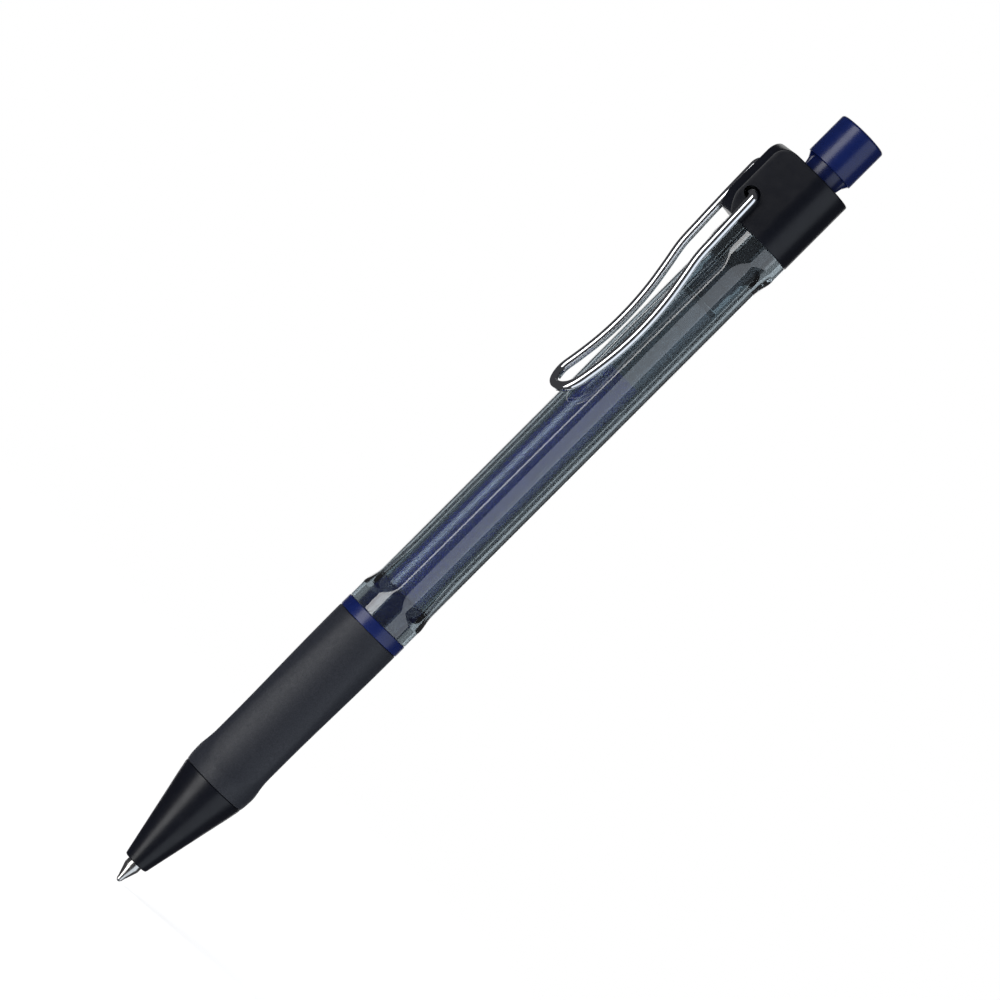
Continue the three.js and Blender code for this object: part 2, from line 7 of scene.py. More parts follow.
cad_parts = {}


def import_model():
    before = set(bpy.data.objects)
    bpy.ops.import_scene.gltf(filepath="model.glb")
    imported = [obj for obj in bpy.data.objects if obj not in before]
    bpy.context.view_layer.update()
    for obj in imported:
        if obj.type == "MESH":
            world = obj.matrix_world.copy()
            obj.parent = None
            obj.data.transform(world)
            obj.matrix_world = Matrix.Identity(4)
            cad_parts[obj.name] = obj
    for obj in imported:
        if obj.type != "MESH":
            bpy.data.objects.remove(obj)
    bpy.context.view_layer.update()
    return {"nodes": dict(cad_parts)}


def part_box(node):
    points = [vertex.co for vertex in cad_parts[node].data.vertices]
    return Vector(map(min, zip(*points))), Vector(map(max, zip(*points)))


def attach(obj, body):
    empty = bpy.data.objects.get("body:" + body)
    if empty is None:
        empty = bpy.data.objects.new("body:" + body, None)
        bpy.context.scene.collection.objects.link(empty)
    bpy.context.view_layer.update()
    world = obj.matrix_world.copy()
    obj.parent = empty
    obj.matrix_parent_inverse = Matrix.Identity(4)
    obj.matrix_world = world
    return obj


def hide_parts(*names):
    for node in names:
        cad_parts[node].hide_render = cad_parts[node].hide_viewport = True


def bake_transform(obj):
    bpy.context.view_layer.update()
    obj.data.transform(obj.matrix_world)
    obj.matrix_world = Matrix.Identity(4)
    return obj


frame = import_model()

# Looks of a retractable gel pen. The pen's own lengths are in millimetres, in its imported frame: +Z from
# the writing ball to the push button, the clip on the -Y side. A clip's or fin's height is its distance
# from the pen's axis towards the clip. The floor, the lights and the camera's clipping are in metres.
MM = 0.001                         # one millimetre in metres, the scene's unit


def low_high(node):
    """A node's lowest and highest corners, in millimetres."""
    low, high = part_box(node)
    return low / MM, high / MM


def span(node):
    low, high = low_high(node)
    return low.z, high.z


def radius_of(node):
    low, high = low_high(node)
    return (high.x - low.x) / 2


AXIS_Y = sum(corner.y for corner in low_high("nose_cone")) / 2
FIT = 0.05                         # gap between pieces that are pushed together

BALL_R = radius_of("tip_ball")
TIP_R = radius_of("writing_tip")
TIP_END = span("writing_tip")[1]
NOSE_FRONT, NOSE_REAR = span("nose_cone")
GRIP_FRONT, GRIP_REAR = span("grip_sleeve")
CORE_FRONT, CORE_REAR = span("grip_core")
RING_R = radius_of("grip_core")
BARREL_FRONT, SPIGOT_END = span("barrel")
BARREL_R_REAR = radius_of("barrel")
CAP_FRONT, CAP_REAR = span("clip_holder")
CAP_R = radius_of("clip_holder")
FIN_HEIGHT = AXIS_Y - low_high("clip_holder")[0].y
BUTTON_BOTTOM, PEN_LENGTH = span("push_button")
HOLDER_FRONT, HOLDER_END = span("tip_holder")
TUBE_FRONT, TUBE_REAR = span("refill_tube")
TUBE_R = radius_of("refill_tube")
TUBE_BORE = radius_of("ink_column") + FIT
INK_FRONT, INK_REAR = span("ink_column")
GREASE_FRONT, GREASE_REAR = span("ink_follower")
PLUG_FRONT, PLUG_REAR = span("refill_tail_plug")
SPRING_FRONT, SPRING_REAR = span("return_spring")

TAU = 2 * math.pi


# ---------------------------------------------------------------- mesh helpers

def at(radius, angle, z):
    """The point at a radius, an angle from the clip side and a height along the pen, in metres."""
    return Vector((radius * math.sin(angle), AXIS_Y - radius * math.cos(angle), z)) * MM


def steps(low, high, count):
    return [low + (high - low) * i / count for i in range(count + 1)]


def outline(corners, arc_steps=4):
    """The corners of a section in the (radius, z) plane, with each third value as a rounding."""
    points = []
    for i, (r, z, *rounding) in enumerate(corners):
        corner = Vector((r, z))
        if not rounding:
            points.append(corner)
            continue
        back = Vector(corners[i - 1][:2]) - corner
        ahead = Vector(corners[(i + 1) % len(corners)][:2]) - corner
        half = back.angle(ahead) / 2
        cut = min(rounding[0] / math.tan(half), 0.49 * back.length, 0.49 * ahead.length)
        arm = cut / math.cos(half)
        centre = corner + (back.normalized() + ahead.normalized()).normalized() * arm
        start = corner + back.normalized() * cut - centre
        end = corner + ahead.normalized() * cut - centre
        turn = math.atan2(start.x * end.y - start.y * end.x, start.dot(end))
        for k in range(arc_steps + 1):
            c, s = math.cos(turn * k / arc_steps), math.sin(turn * k / arc_steps)
            points.append(centre + Vector((c * start.x - s * start.y, s * start.x + c * start.y)))
    return points


def stitch(bm, lower, upper):
    """Faces between two rings of vertices; a ring of one vertex is a pole."""
    count = max(len(lower), len(upper))
    for k in range(count):
        n = (k + 1) % count
        if len(lower) == 1:
            bm.faces.new((lower[0], upper[n], upper[k]))
        elif len(upper) == 1:
            bm.faces.new((lower[k], lower[n], upper[0]))
        else:
            bm.faces.new((lower[k], lower[n], upper[n], upper[k]))


def mesh_object(name, bm, sharp_degrees=32):
    """Closes a bmesh into an object, smooth but for its sharp edges."""
    bmesh.ops.recalc_face_normals(bm, faces=bm.faces)
    limit = math.radians(sharp_degrees)
    for face in bm.faces:
        face.smooth = True
    for edge in bm.edges:
        edge.smooth = len(edge.link_faces) != 2 or edge.calc_face_angle(0) < limit
    mesh = bpy.data.meshes.new(name)
    bm.to_mesh(mesh)
    bm.free()
    obj = bpy.data.objects.new(name, mesh)
    bpy.context.scene.collection.objects.link(obj)
    return obj


def rings_object(name, rings, closed, sharp_degrees=32):
    """A skin over rings of points; closed joins the last ring to the first."""
    bm = bmesh.new()
    made = [[bm.verts.new(p) for p in ring] for ring in rings]
    for lower, upper in zip(made, made[1:]):
        stitch(bm, lower, upper)
    if closed:
        stitch(bm, made[-1], made[0])
    else:
        for ring in (made[0], made[-1]):
            if len(ring) > 1:
                bm.faces.new(ring)
    return mesh_object(name, bm, sharp_degrees)


def turned(name, corners, sides=128, shape=None, sharp_degrees=32):
    """A turned piece. shape(radius, angle, z), if given, says each point's radius."""
    closed = corners[0][0] > 0
    shape = shape or (lambda r, angle, z: r)
    angles = [TAU * k / sides for k in range(sides)]
    rings = [
        [at(shape(r, a, z), a, z) for a in angles] if r > 0 else [at(0, 0, z)]
        for r, z in outline(corners)
    ]
    return rings_object(name, rings, closed, sharp_degrees)


def swept(name, path, wire_r, sides, end_rounding=0.35):
    """Round wire along a path of points in metres, with softened ends."""
    tangents = []
    for i in range(len(path)):
        ahead, behind = path[min(i + 1, len(path) - 1)], path[max(i - 1, 0)]
        tangents.append((ahead - behind).normalized())
    side = tangents[0].orthogonal().normalized()
    frames = []
    for tangent in tangents:
        side = (side - tangent * side.dot(tangent)).normalized()
        frames.append((side.copy(), tangent.cross(side)))
    angles = [TAU * k / sides for k in range(sides)]

    def ring(i, radius, shift=0.0):
        u, v = frames[i]
        centre = path[i] + tangents[i] * shift * MM
        return [centre + (u * math.cos(a) + v * math.sin(a)) * radius * MM for a in angles]

    soft = end_rounding * wire_r
    ends = [(wire_r - soft + soft * math.sin(t), soft * math.cos(t)) for t in steps(0, math.pi / 2, 4)]
    last = len(path) - 1
    rings = [ring(0, r, soft - out) for r, out in ends[:-1]]
    rings += [ring(i, wire_r) for i in range(1, last)]
    rings += [ring(last, r, out - soft) for r, out in reversed(ends[:-1])]
    return rings_object(name, rings, closed=False)


def applied(obj):
    """Makes an object's modifiers part of its mesh."""
    graph = bpy.context.evaluated_depsgraph_get()
    mesh = bpy.data.meshes.new_from_object(obj.evaluated_get(graph))
    obj.modifiers.clear()
    obj.data = mesh
    return obj


def combined(obj, other, operation):
    """A cut, or a join, of two solids; the other one is used up."""
    modifier = obj.modifiers.new(operation, "BOOLEAN")
    modifier.operation = operation
    modifier.solver = "EXACT"
    modifier.object = other
    applied(obj)
    bpy.data.objects.remove(other)
    return obj


def softened(obj, width, angle=40):
    """A small bevel on the edges that a boolean leaves, as a modifier."""
    modifier = obj.modifiers.new("edge", "BEVEL")
    modifier.width = width * MM
    modifier.segments = 2
    modifier.limit_method = "ANGLE"
    modifier.angle_limit = math.radians(angle)
    modifier.harden_normals = True
    return obj


def place(obj, body, slot, material, *nodes):
    """Gives a piece its material and its body, and hides the CAD nodes that it stands for."""
    obj.data.materials.clear()
    obj.data.materials.append(material)
    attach(obj, body)
    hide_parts(*nodes)
    return obj


# ---------------------------------------------------------------- materials

class Nodes:
    """A material with one Principled shader, and short ways to add nodes to it."""

    def __init__(self, name, **settings):
        self.material = bpy.data.materials.new(name)
        self.material.use_nodes = True
        self.tree = self.material.node_tree
        self.shader = self.tree.nodes["Principled BSDF"]
        for socket, value in settings.items():
            self.shader.inputs[socket.replace("_", " ")].default_value = value
        self.coordinates = self.tree.nodes.new("ShaderNodeTexCoord").outputs["Object"]

    def link(self, output, target):
        self.tree.links.new(output, target)

    def noise(self, size, detail, stretch=(1, 1, 1)):
        """Noise whose grains are about size millimetres across."""
        mapping = self.tree.nodes.new("ShaderNodeMapping")
        mapping.inputs["Scale"].default_value = [s / (size * MM) for s in stretch]
        self.link(self.coordinates, mapping.inputs["Vector"])
        node = self.tree.nodes.new("ShaderNodeTexNoise")
        node.inputs["Scale"].default_value = 1.0
        node.inputs["Detail"].default_value = detail
        self.link(mapping.outputs["Vector"], node.inputs["Vector"])
        return node.outputs["Fac"]

    def ramp(self, value, low, high, colour_low, colour_high):
        """Colours or greys between two values of an input."""
        node = self.tree.nodes.new("ShaderNodeValToRGB")
        ends = node.color_ramp.elements
        ends[0].position, ends[1].position = low, high
        ends[0].color, ends[1].color = colour_low, colour_high
        self.link(value, node.inputs["Fac"])
        return node.outputs["Color"]

    def grey(self, value, low, high, first, second):
        return self.ramp(value, low, high, (first,) * 3 + (1,), (second,) * 3 + (1,))

    def colour(self, value, low, high, first, second):
        result = self.ramp(value, low, high, (*first, 1), (*second, 1))
        self.link(result, self.shader.inputs["Base Color"])

    def roughness(self, value, low, high, first, second):
        self.link(self.grey(value, low, high, first, second), self.shader.inputs["Roughness"])

    def bump(self, value, height):
        """Relief of about height millimetres, laid over any relief already there."""
        node = self.tree.nodes.new("ShaderNodeBump")
        node.inputs["Distance"].default_value = height * MM
        node.inputs["Strength"].default_value = 1.0
        self.link(value, node.inputs["Height"])
        before = self.shader.inputs["Normal"]
        if before.is_linked:
            self.link(before.links[0].from_socket, node.inputs["Normal"])
        self.link(node.outputs["Normal"], before)


def moulded_plastic(name, dark, light, roughness, grain=0.12, relief=0.004, gloss=0.5):
    """Opaque moulded plastic: a fine spark-eroded texture and faint flow variation."""
    made = Nodes(name, IOR=1.49, Specular_IOR_Level=gloss)
    flow = made.noise(6.0, detail=3, stretch=(1, 1, 0.35))
    made.colour(flow, 0.35, 0.65, dark, light)
    made.roughness(made.noise(1.4, detail=5), 0.3, 0.7, roughness - 0.035, roughness + 0.035)
    made.bump(made.noise(grain, detail=3), relief)
    return made.material


def grip_rubber():
    """Thermoplastic rubber: dark blue-grey with a dense matt grain."""
    made = Nodes("grip rubber", IOR=1.45)
    made.shader.inputs["Sheen Weight"].default_value = 0.05
    made.shader.inputs["Sheen Roughness"].default_value = 0.45
    made.shader.inputs["Sheen Tint"].default_value = (0.75, 0.78, 0.9, 1)
    grain = made.noise(0.13, detail=5)
    made.colour(grain, 0.38, 0.66, (0.007, 0.009, 0.014), (0.018, 0.020, 0.029))
    made.roughness(made.noise(0.5, detail=4), 0.3, 0.7, 0.46, 0.58)
    made.bump(made.noise(1.5, detail=2), 0.008)
    made.bump(grain, 0.022)
    return made.material


def chrome():
    """Polished plated wire, with faint drawing lines along it."""
    made = Nodes("clip chrome", Metallic=1.0)
    made.colour(made.noise(3.0, detail=2), 0.3, 0.7, (0.80, 0.81, 0.83), (0.86, 0.87, 0.88))
    made.roughness(made.noise(0.5, detail=6, stretch=(1, 1, 0.12)), 0.3, 0.75, 0.04, 0.09)
    made.bump(made.noise(0.4, detail=2, stretch=(1, 1, 0.1)), 0.00005)
    return made.material


def turned_metal(name, dark, light, roughness):
    """Lathe-turned metal, with tool marks round the axis."""
    made = Nodes(name, Metallic=1.0)
    marks = made.noise(0.05, detail=3, stretch=(0.02, 0.02, 1))
    made.colour(made.noise(0.8, detail=4), 0.3, 0.7, dark, light)
    made.roughness(marks, 0.3, 0.7, roughness - 0.06, roughness + 0.06)
    made.bump(marks, 0.0012)
    return made.material


def drawn_wire():
    made = Nodes("spring steel", Metallic=1.0)
    made.colour(made.noise(0.9, detail=4), 0.3, 0.7, (0.42, 0.43, 0.45), (0.58, 0.59, 0.61))
    made.roughness(made.noise(0.25, detail=5), 0.3, 0.7, 0.2, 0.34)
    made.bump(made.noise(0.12, detail=4), 0.001)
    return made.material


def clear_plastic(name, tint, roughness, relief, clarity, skin_ior, skin_roughness):
    """Transparent moulded plastic with a glossy skin, faint flow streaks in its tint and a haze."""
    made = Nodes(name, IOR=1.55, Transmission_Weight=clarity)
    made.shader.inputs["Coat Weight"].default_value = 1.0
    made.shader.inputs["Coat IOR"].default_value = skin_ior
    made.shader.inputs["Coat Roughness"].default_value = skin_roughness
    darker = tuple(0.93 * c for c in tint)
    made.colour(made.noise(9.0, detail=2, stretch=(1, 1, 0.3)), 0.35, 0.65, darker, tint)
    made.roughness(made.noise(0.9, detail=4), 0.3, 0.7, 0.8 * roughness, 1.2 * roughness)
    made.bump(made.noise(0.5, detail=2), relief)
    return made.material


def blue_ink():
    made = Nodes("blue gel ink", IOR=1.4)
    made.colour(made.noise(2.5, detail=3), 0.3, 0.7, (0.004, 0.009, 0.22), (0.007, 0.014, 0.30))
    made.roughness(made.noise(0.8, detail=3), 0.3, 0.7, 0.12, 0.2)
    made.bump(made.noise(1.2, detail=2), 0.004)
    return made.material


def follower_grease():
    made = Nodes("follower grease", IOR=1.46)
    made.shader.inputs["Transmission Weight"].default_value = 0.3
    made.colour(made.noise(1.5, detail=3), 0.3, 0.7, (0.11, 0.13, 0.14), (0.16, 0.18, 0.19))
    made.roughness(made.noise(0.6, detail=3), 0.3, 0.7, 0.2, 0.35)
    made.bump(made.noise(0.5, detail=3), 0.01)
    return made.material


BLACK = moulded_plastic(
    "black plastic", (0.0025, 0.0032, 0.0062), (0.0038, 0.0046, 0.0085), 0.32,
    relief=0.002, gloss=0.33,
)
NAVY = moulded_plastic(
    "navy plastic", (0.0025, 0.008, 0.064), (0.004, 0.012, 0.085), 0.27, grain=0.3, relief=0.003,
)
MECHANISM = moulded_plastic("mechanism plastic", (0.07, 0.08, 0.10), (0.11, 0.12, 0.14), 0.45)
GUIDE = moulded_plastic("guide plastic", (0.010, 0.011, 0.014), (0.016, 0.017, 0.021), 0.42)
GREY = moulded_plastic("grey plastic", (0.09, 0.10, 0.11), (0.13, 0.14, 0.15), 0.4)
RUBBER = grip_rubber()
CHROME = chrome()
TIP_METAL = turned_metal("tip metal", (0.60, 0.59, 0.57), (0.76, 0.75, 0.73), 0.22)
CARBIDE = turned_metal("ball carbide", (0.20, 0.21, 0.22), (0.32, 0.33, 0.35), 0.12)
WIRE = drawn_wire()
SMOKE = clear_plastic(
    "smoke plastic", (0.25, 0.30, 0.33), roughness=0.02, relief=0.0001,
    clarity=1.0, skin_ior=1.5, skin_roughness=0.02,
)
CLEAR = clear_plastic(
    "tube plastic", (0.86, 0.90, 0.96), roughness=0.18, relief=0.0002,
    clarity=0.98, skin_ior=2.0, skin_roughness=0.2,
)
INK = blue_ink()
GREASE = follower_grease()


# ---------------------------------------------------------------- refill

def tip_ball():
    arc = [math.pi * k / 24 for k in range(25)]
    corners = [(BALL_R * math.sin(a), BALL_R - BALL_R * math.cos(a)) for a in arc]
    corners[0], corners[-1] = (0, 0), (0, 2 * BALL_R)
    place(turned("tip_ball_polished", corners, 48), "ball", "ball_carbide", CARBIDE, "tip_ball")


def writing_tip():
    """Crimped lip, a groove where the crimping tool stopped, the cone and the shank."""
    shank_end = HOLDER_FRONT - FIT
    tail_r, bore, ball_seat = 0.9, 0.35, BALL_R + 0.04
    corners = [
        (BALL_R + 0.01, 0.24, 0.01),
        (0.41, 0.30, 0.02),
        (0.455, 0.52),
        (0.56, 0.93, 0.03),
        (0.56, 0.98, 0.01),
        (0.60, 0.99, 0.02),
        (TIP_R, 2.65, 0.25),
        (TIP_R, shank_end, 0.05),
        (tail_r, shank_end),
        (tail_r, TIP_END - 0.1),
        (bore, TIP_END - 0.1),
        (bore, 1.0),
        (ball_seat, 0.8),
        (ball_seat, 0.34),
    ]
    tip = turned("writing_tip_turned", corners, 96)
    place(tip, "refill", "tip_metal", TIP_METAL, "writing_tip")


def tip_holder():
    plug_r = TUBE_BORE - FIT
    tip_bore, neck_r, collar_r = 0.95, 1.75, 2.65
    corners = [
        (tip_bore, HOLDER_FRONT, 0.05),
        (1.6, HOLDER_FRONT, 0.1),
        (neck_r, HOLDER_FRONT + 0.5, 0.2),
        (neck_r, 19.5, 0.3),
        (collar_r, 19.8, 0.1),
        (collar_r, TUBE_FRONT - FIT, 0.1),
        (plug_r, TUBE_FRONT - FIT),
        (plug_r, HOLDER_END, 0.3),
        (0.7, HOLDER_END),
        (0.7, TIP_END + 0.2),
        (tip_bore, TIP_END + 0.2),
    ]
    holder = turned("tip_holder_moulded", corners, 96)
    place(holder, "refill", "holder_plastic", GREY, "tip_holder")


def ink_tube():
    tube = turned("refill_tube_extruded", [
        (TUBE_BORE, TUBE_FRONT, 0.08),
        (TUBE_R, TUBE_FRONT, 0.15),
        (TUBE_R, TUBE_REAR, 0.15),
        (TUBE_BORE, TUBE_REAR, 0.08),
    ])
    place(tube, "refill", "tube_plastic", CLEAR, "refill_tube")
    tube.visible_shadow = False
    fill_r = TUBE_BORE - 0.02
    meniscus = 0.5
    ink = turned("ink_column_blue", [
        (0, INK_FRONT),
        (fill_r, INK_FRONT),
        (fill_r, INK_REAR),
        (0.75 * fill_r, INK_REAR - 0.6 * meniscus, 1.0),
        (0, INK_REAR - meniscus),
    ])
    place(ink, "refill", "blue_ink", INK, "ink_column")
    grease = turned("ink_follower_grease", [
        (0, GREASE_FRONT - meniscus),
        (0.75 * fill_r, GREASE_FRONT - 0.6 * meniscus, 1.0),
        (fill_r, GREASE_FRONT),
        (fill_r, GREASE_REAR),
        (0.7 * fill_r, GREASE_REAR - 0.5, 0.8),
        (0, GREASE_REAR - 0.7),
    ])
    place(grease, "refill", "follower_grease", GREASE, "ink_follower")


def tail_plug():
    vent = 0.45
    flange = radius_of("refill_tail_plug")
    plug = turned("refill_tail_plug_moulded", [
        (vent, PLUG_FRONT, 0.1),
        (TUBE_BORE - FIT, PLUG_FRONT, 0.3),
        (TUBE_BORE - FIT, TUBE_REAR + FIT),
        (flange, TUBE_REAR + FIT, 0.1),
        (flange, PLUG_REAR, 0.2),
        (vent, PLUG_REAR, 0.1),
    ], 96)
    place(plug, "refill", "holder_plastic", GREY, "refill_tail_plug")


def return_spring():
    """Eight turns of round wire, close-wound at both ends."""
    wire_r, turns, per_turn = 0.19, 8, 40
    closeness = 0.85               # of the end turns: 0 is evenly wound, 1 is touching
    coil_r = radius_of("return_spring") - wire_r
    low, high = SPRING_FRONT + wire_r, SPRING_REAR - wire_r
    path = []
    for k in range(turns * per_turn + 1):
        t = k / (turns * per_turn)
        rise = t - closeness * math.sin(TAU * t) / TAU
        path.append(at(coil_r, TAU * turns * t, low + (high - low) * rise))
    spring = swept("return_spring_wound", path, wire_r, sides=12)
    spring.data.materials.append(WIRE)
    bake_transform(spring)
    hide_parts("return_spring")


# ---------------------------------------------------------------- body of the pen

def nose_cone():
    """Slightly bulged cone with a rounded lip, and the spring's seat inside."""
    spring_seat = SPRING_FRONT - FIT
    mouth, spring_bore, thread_bore = 1.25, 2.62, 3.62
    corners = [
        (mouth, NOSE_FRONT, 0.06),
        (1.86, NOSE_FRONT, 0.3),
        (2.87, 8.12),
        (3.45, 10.82),
        (4.03, 13.53),
        (4.63, 16.24),
        (5.0, 18.1, 0.8),
        (5.02, NOSE_REAR, 0.12),
        (thread_bore, NOSE_REAR, 0.1),
        (thread_bore, 14.4),
        (2.95, 13.8),
        (spring_bore, 12.6),
        (spring_bore, spring_seat),
        (mouth, spring_seat),
    ]
    place(turned("nose_cone_moulded", corners, 160), "nose", "black_plastic", BLACK, "nose_cone")


THREAD_PITCH = 1.05
THREAD_ROOT = 3.36
THREAD_CREST = 3.55


def threaded(radius, angle, z):
    """The male thread in front of the grip: a rounded helical ridge on a plain root."""
    start, end = CORE_FRONT + 0.5, GRIP_FRONT - 0.45
    if not (THREAD_ROOT - 0.01 < radius < THREAD_ROOT + 0.01 and start < z < end):
        return radius
    turn = (z / THREAD_PITCH - angle / TAU) % 1
    ridge = max(0.0, math.cos((turn - 0.5) * TAU)) ** 0.7
    fade = min(1.0, (z - start) / 0.4, (end - z) / 0.4)
    return radius + (THREAD_CREST - THREAD_ROOT) * ridge * fade


def grip_core():
    """Inner tube: thread, seat of the grip, the collar that shows as a blue ring, and spigot."""
    ring_front = GRIP_REAR + 0.06
    ring_rear = BARREL_FRONT - 0.06
    thread = [(THREAD_ROOT, z) for z in steps(CORE_FRONT + 0.3, GRIP_FRONT - 0.2, 60)]
    front_bore, bore, grip_seat, spigot_r = 2.8, 3.2, 4.1, 3.75
    corners = [
        (front_bore, CORE_FRONT, 0.1),
        (3.3, CORE_FRONT, 0.15),
        *thread,
        (THREAD_ROOT, GRIP_FRONT),
        (grip_seat, GRIP_FRONT + 0.1, 0.1),
        (grip_seat, ring_front),
        (RING_R, ring_front, 0.1),
        (RING_R, ring_rear, 0.1),
        (spigot_r, ring_rear),
        (spigot_r, CORE_REAR, 0.2),
        (bore, CORE_REAR, 0.1),
        (bore, GRIP_FRONT + 0.5),
        (front_bore, GRIP_FRONT + 0.5),
    ]
    core = turned("grip_core_moulded", corners, 160, threaded)
    place(core, "housing", "navy_plastic", NAVY, "grip_core")


def bulged_face(angle, middle, arc):
    """Distance from the axis to a bulged face, at an angle from the face's middle."""
    back = arc - middle
    along = back * math.cos(angle)
    return math.sqrt(along * along + arc * arc - back * back) - along


def to_nearest_face(angle, first):
    """The angle to the nearest of three faces, the first of which is at the given angle."""
    third = TAU / 3
    turn = (angle - first) % third
    return min(turn, third - turn)


def ease(z, low, high):
    """0 at low, 1 at high, with a soft start and end."""
    t = min(max((z - low) / (high - low), 0.0), 1.0)
    return t * t * (3 - 2 * t)


def run_out(z, gone, full):
    """0 where a face is full, 1 where it has run out."""
    return min(max((z - full) / (gone - full), 0.0), 1.2) ** 2


def soft_min(a, b, blend):
    """The lesser of two lengths, with the corner between them rounded."""
    near = max(blend - abs(a - b), 0.0) / blend
    return min(a, b) - near * near * blend / 4


GRIP_R = 5.21


def grip_surface(radius, angle, z):
    """Three shallow finger faces, between the clip's side and its opposite, fading rearwards."""
    if radius < 4.5:
        return radius
    middle, arc, edge = 4.58, 6.84, 0.12
    lift = 0.38 * ease(z, 27, 48) + (GRIP_R - middle) * run_out(z, 20.6, 24.3)
    face = bulged_face(to_nearest_face(angle, TAU / 6), middle + lift, arc)
    return soft_min(radius, face, edge)


def grip_sleeve():
    bore = 4.15
    outside = [(GRIP_R, z) for z in steps(20.6, 24.6, 20) + steps(25.5, GRIP_REAR - 0.8, 40)]
    corners = [
        (GRIP_R - 0.2, GRIP_FRONT, 0.05),
        (GRIP_R - 0.14, GRIP_FRONT + 0.2),
        (GRIP_R - 0.06, GRIP_FRONT + 0.8, 0.5),
        (GRIP_R, GRIP_FRONT + 1.9, 0.8),
        *outside,
        (GRIP_R, GRIP_REAR - 0.4),
        (GRIP_R - 0.03, GRIP_REAR, 0.16),
        (bore, GRIP_REAR),
        (bore, GRIP_FRONT),
    ]
    sleeve = turned("grip_sleeve_rubber", corners, 240, grip_surface)
    place(sleeve, "housing", "grip_rubber", RUBBER, "grip_sleeve")


SPIGOT_R = 4.3                     # the barrel's narrow rear end, inside the clip holder
FACET_FRONT = (52.0, 55.5)         # where the barrel's faces run out, and where they are full
FACET_REAR = (120.2, 116.6)
CLIP_FACET_REAR = (116.0, 119.6)   # the face under the clip only grows shallower there


def barrel_surface(radius, angle, z):
    """Three broad faces round a slowly widening tube, with rounded ends."""
    middle, arc, edge = 4.14, 9.3, 0.09
    if radius < SPIGOT_R + 0.05:
        return radius
    gone = 1.2 * (RING_R - middle)
    under_clip = math.cos(angle) > 0.5
    if under_clip:
        rear = 0.58 * ease(z, *CLIP_FACET_REAR)
    else:
        rear = gone * run_out(z, *FACET_REAR)
    lift = gone * run_out(z, *FACET_FRONT) + rear
    face = bulged_face(to_nearest_face(angle, 0), middle + lift, arc)
    return soft_min(radius, face, edge)


def barrel():
    bore, core_seat = 3.4, 3.8
    rear = CAP_FRONT - 0.07
    slope = (BARREL_R_REAR - RING_R) / (rear - BARREL_FRONT)
    stations = (
        steps(BARREL_FRONT + 0.3, 51.6, 4)
        + steps(51.8, 56.2, 36)
        + steps(58, 114, 14)
        + steps(115.6, 120.6, 38)
        + steps(121, rear - 0.3, 3)
    )
    corners = [
        (RING_R, BARREL_FRONT, 0.12),
        *[(RING_R + slope * (z - BARREL_FRONT), z) for z in stations],
        (BARREL_R_REAR, rear, 0.12),
        (SPIGOT_R, rear),
        (SPIGOT_R, SPIGOT_END, 0.15),
        (bore, SPIGOT_END, 0.1),
        (bore, CORE_REAR + 6),
        (core_seat, CORE_REAR + 0.1),
        (core_seat, BARREL_FRONT),
    ]
    tube = turned("barrel_clear", corners, 300, barrel_surface)
    place(tube, "housing", "smoke_plastic", SMOKE, "barrel")
    tube.visible_shadow = False


# ---------------------------------------------------------------- clip and its holder

FIN_ANGLE = math.radians(56.7)     # the fin's side faces, from the clip's direction
FIN_LEVEL_FROM = 125.3             # where the fin's top stops rising
FIN_CORNER = 2.2                   # radius of the fin's rear corner
HOLE_R = 1.03
HOLE_HEIGHT = 6.64
HOLE_Z = {1: 126.2, -1: 130.4}     # the wire's ends are staggered: the +X one and the -X one


def fin_section(height, inset, z):
    """Ring of points round the holder: a round back, flat sides tangent to it, a flat top."""
    round_r, top = CAP_R - inset, height - inset
    half_top = (round_r - top * math.cos(FIN_ANGLE)) / math.sin(FIN_ANGLE)
    soft = min(0.16, 0.4 * half_top)
    foot = Vector((round_r * math.sin(FIN_ANGLE), round_r * math.cos(FIN_ANGLE)))
    corner = Vector((half_top, top))
    down = (foot - corner).normalized()
    half = [(0.0, top), (0.5 * (half_top - soft), top), (half_top - soft, top)]
    start, end = corner - Vector((soft, 0)), corner + down * soft
    for t in steps(0, 1, 4)[1:]:
        p = (1 - t) ** 2 * start + 2 * t * (1 - t) * corner + t * t * end
        half.append(tuple(p))
    half += [tuple(end.lerp(foot, t)) for t in steps(0, 1, 14)[1:]]
    for a in steps(FIN_ANGLE, math.pi, 44)[1:-1]:
        half.append((round_r * math.sin(a), round_r * math.cos(a)))
    back = [(0.0, -round_r)]
    other = [(-x, h) for x, h in reversed(half[1:])]
    return [Vector((x, AXIS_Y - h, z)) * MM for x, h in half + back + other]


def fin_profile(z):
    """Height of the fin's top: raked up from the front edge, level, then a rounded corner."""
    front_height = 6.9
    if z < FIN_LEVEL_FROM:
        t = (FIN_LEVEL_FROM - z) / (FIN_LEVEL_FROM - CAP_FRONT)
        return FIN_HEIGHT - (FIN_HEIGHT - front_height) * t ** 1.7
    over = max(0.0, z - (CAP_REAR - FIN_CORNER))
    return FIN_HEIGHT - FIN_CORNER + math.sqrt(max(FIN_CORNER ** 2 - over * over, 0.0))


